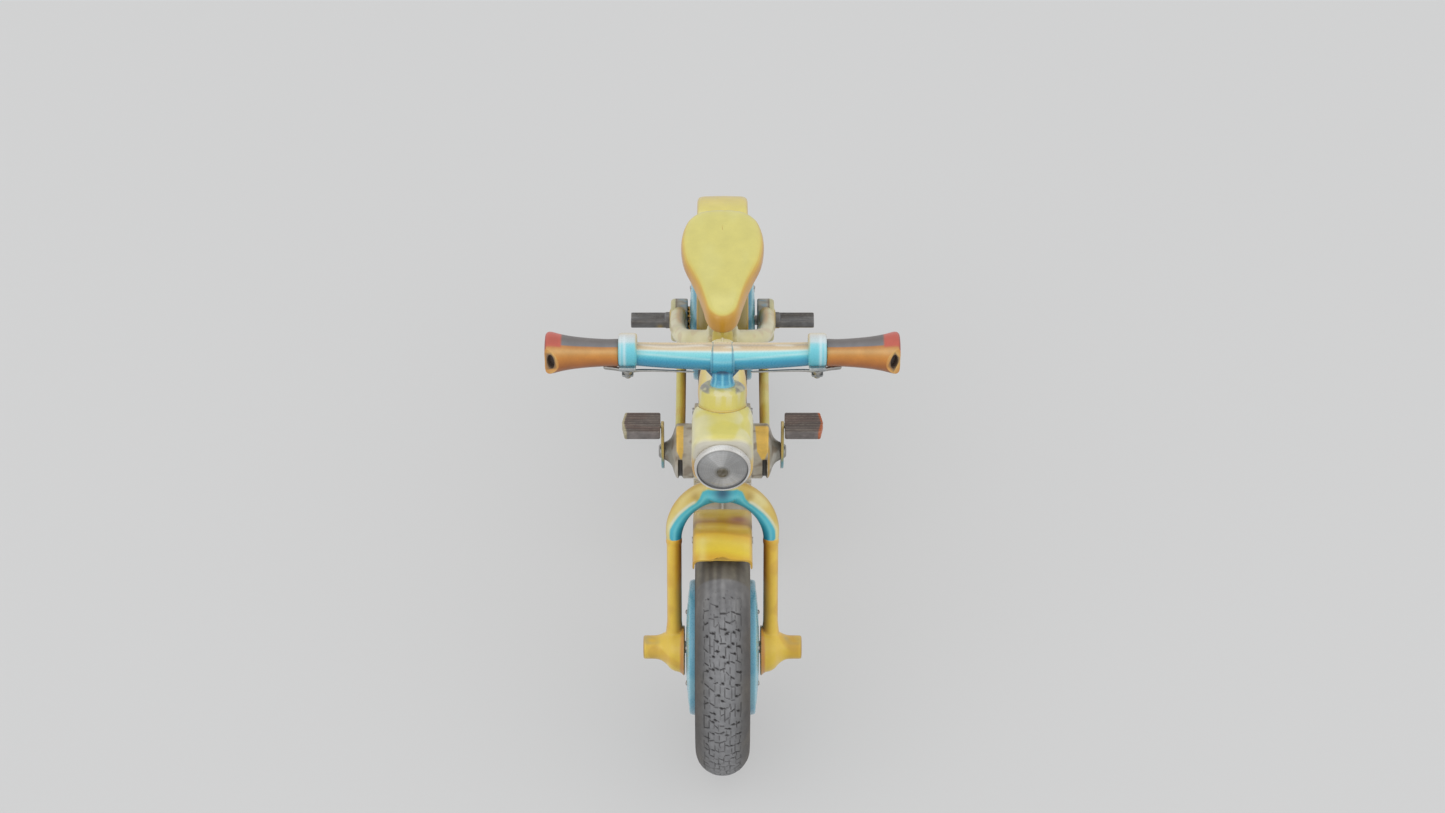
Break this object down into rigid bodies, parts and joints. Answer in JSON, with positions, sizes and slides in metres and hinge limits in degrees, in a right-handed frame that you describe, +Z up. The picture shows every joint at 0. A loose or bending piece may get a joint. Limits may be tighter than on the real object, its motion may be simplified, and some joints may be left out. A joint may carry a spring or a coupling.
{
  "type": "wind-up toy motorcycle",
  "caption": "Tin wind-up toy motorcycle with raked fork, round headlamp, broad grips, pressed saddle, clockwork engine with key, and shaft-driven rear wheel.",
  "frame": {"origin": "middle of the footprint, on the surface that the tyres stand on", "axes": "+Y from the front wheel to the rear, +X to the right seen from the front camera side, +Z up"},
  "size_m": [0.0856, 0.1984, 0.1097],
  "materials": {
    "yellow_enamel": "glossy enamel on pressed tin",
    "cream_enamel": "glossy cream enamel",
    "blue_enamel": "glossy blue enamel",
    "engine_grey": "grey-brown lacquered tin",
    "bright_steel": "bright rolled steel",
    "lamp_steel": "bright plated",
    "clock_brass": "stamped clockwork brass",
    "tyre_rubber": "dull dark grey rubber",
    "grip_orange": "orange-brown moulded grip",
    "pedal_grey": "dark grey-brown ribbed tin",
    "lamp_glass": "grey fluted lens"
  },
  "bodies": {
    "frame": {"head_tube": "yellow_enamel", "backbone_tube": "yellow_enamel", "down_tube": "yellow_enamel", "seat_post": "yellow_enamel", "stay_yoke": "cream_enamel", "chain_stay_left": "yellow_enamel", "chain_stay_right": "yellow_enamel", "rear_housing_left": "engine_grey", "rear_housing_right": "engine_grey", "rear_axle": "bright_steel", "rear_pegs": "pedal_grey", "rear_fender": "yellow_enamel", "saddle_pan": "pedal_grey", "saddle_shell": "yellow_enamel", "tank_left": "yellow_enamel", "tank_right": "yellow_enamel", "engine_case_left": "engine_grey", "engine_case_right": "engine_grey", "hub_cover_left": "engine_grey", "hub_cover_right": "engine_grey", "motor_plates": "clock_brass", "pillar_bolts": "bright_steel", "mainspring": "bright_steel"},
    "steering": {"fork_leg_left": "yellow_enamel", "fork_leg_right": "yellow_enamel", "fork_arch": "yellow_enamel", "steerer_tube": "bright_steel", "front_axle": "bright_steel", "nacelle": "yellow_enamel", "lamp_bezel": "lamp_steel", "lamp_lens": "lamp_glass", "lamp_reflector": "lamp_steel", "head_cap": "yellow_enamel", "bar_stem": "blue_enamel", "handlebar": "blue_enamel", "bar_clamps": "blue_enamel", "grip_left": "grip_orange", "grip_right": "grip_orange", "front_fender": "yellow_enamel"},
    "front_wheel": {"front_tyre": "tyre_rubber", "front_rim": "bright_steel", "front_discs": "blue_enamel"},
    "rear_wheel": {"rear_tyre": "tyre_rubber", "rear_rim": "bright_steel", "rear_discs": "blue_enamel", "wheel_gear": "clock_brass"},
    "drive_shaft": {"drive_shaft": "bright_steel"},
    "output_gear": {"output_gear": "clock_brass"},
    "second_gear": {"second_gear": "clock_brass"},
    "great_wheel": {"great_wheel": "clock_brass"},
    "winder": {"winding_arbor": "bright_steel", "winding_key": "bright_steel"},
    "click": {"click_pawl": "bright_steel"},
    "cranks": {"crank_spindle": "bright_steel", "crank_plates": "engine_grey"},
    "pedal_left": {"pedal_left": "pedal_grey"},
    "pedal_right": {"pedal_right": "pedal_grey"},
    "brake_lever_left": {"brake_lever_left": "bright_steel"},
    "brake_lever_right": {"brake_lever_right": "bright_steel"},
    "stand": {"prop_stand": "bright_steel"}
  },
  "joints": [
    {"name": "steer", "type": "hinge", "parent": "frame", "child": "steering", "pos_m": [0, -0.0504, 0.07898], "axis": [0, 0.342, 0.9397], "range_deg": [-35, 35]},
    {"name": "front_wheel_spin", "type": "hinge", "parent": "steering", "child": "front_wheel", "pos_m": [0, -0.0675, 0.032], "axis": [1, 0, 0], "continuous": true},
    {"name": "rear_wheel_spin", "type": "hinge", "parent": "frame", "child": "rear_wheel", "pos_m": [0, 0.064, 0.032], "axis": [1, 0, 0], "continuous": true},
    {"name": "drive_shaft_turn", "type": "hinge", "parent": "frame", "child": "drive_shaft", "pos_m": [-0.0114, 0.036, 0.032], "axis": [0, 1, 0], "continuous": true},
    {"name": "output_gear_turn", "type": "hinge", "parent": "frame", "child": "output_gear", "pos_m": [0, 0.0075, 0.032], "axis": [1, 0, 0], "continuous": true},
    {"name": "second_gear_turn", "type": "hinge", "parent": "frame", "child": "second_gear", "pos_m": [0, 0.00452, 0.02038], "axis": [1, 0, 0], "continuous": true},
    {"name": "great_wheel_turn", "type": "hinge", "parent": "frame", "child": "great_wheel", "pos_m": [0, 0.017, 0.021], "axis": [1, 0, 0], "continuous": true},
    {"name": "key_wind", "type": "hinge", "parent": "great_wheel", "child": "winder", "pos_m": [-0.009, 0.017, 0.021], "axis": [1, 0, 0], "continuous": true},
    {"name": "click_lift", "type": "hinge", "parent": "great_wheel", "child": "click", "pos_m": [-0.0021, 0.0148, 0.0276], "axis": [1, 0, 0], "range_deg": [0, 14], "stiffness_Nm_per_rad": 0.002, "springref_deg": -5.73},
    {"name": "crank_turn", "type": "hinge", "parent": "frame", "child": "cranks", "pos_m": [0, 0.0075, 0.032], "axis": [1, 0, 0], "continuous": true},
    {"name": "pedal_left_turn", "type": "hinge", "parent": "cranks", "child": "pedal_left", "pos_m": [-0.021, 0.0075, 0.0408], "axis": [1, 0, 0], "continuous": true},
    {"name": "pedal_right_turn", "type": "hinge", "parent": "cranks", "child": "pedal_right", "pos_m": [0.021, 0.0075, 0.0408], "axis": [1, 0, 0], "continuous": true},
    {"name": "brake_lever_left_pull", "type": "hinge", "parent": "steering", "child": "brake_lever_left", "pos_m": [-0.02285, -0.04413, 0.10045], "axis": [0, 0, -1], "range_deg": [0, 12], "stiffness_Nm_per_rad": 0.002, "springref_deg": -5.73},
    {"name": "brake_lever_right_pull", "type": "hinge", "parent": "steering", "child": "brake_lever_right", "pos_m": [0.02285, -0.04413, 0.10045], "axis": [0, 0, 1], "range_deg": [0, 12], "stiffness_Nm_per_rad": 0.002, "springref_deg": -5.73},
    {"name": "stand_fold", "type": "hinge", "parent": "frame", "child": "stand", "pos_m": [0, 0, 0.008], "axis": [1, 0, 0], "range_deg": [0, 110]}
  ],
  "couplings": [
    {"joint": "drive_shaft_turn", "follows": "rear_wheel_spin", "ratio": 2},
    {"joint": "output_gear_turn", "follows": "rear_wheel_spin", "ratio": -1},
    {"joint": "second_gear_turn", "follows": "rear_wheel_spin", "ratio": 0.33333},
    {"joint": "great_wheel_turn", "follows": "rear_wheel_spin", "ratio": -0.083333}
  ]
}
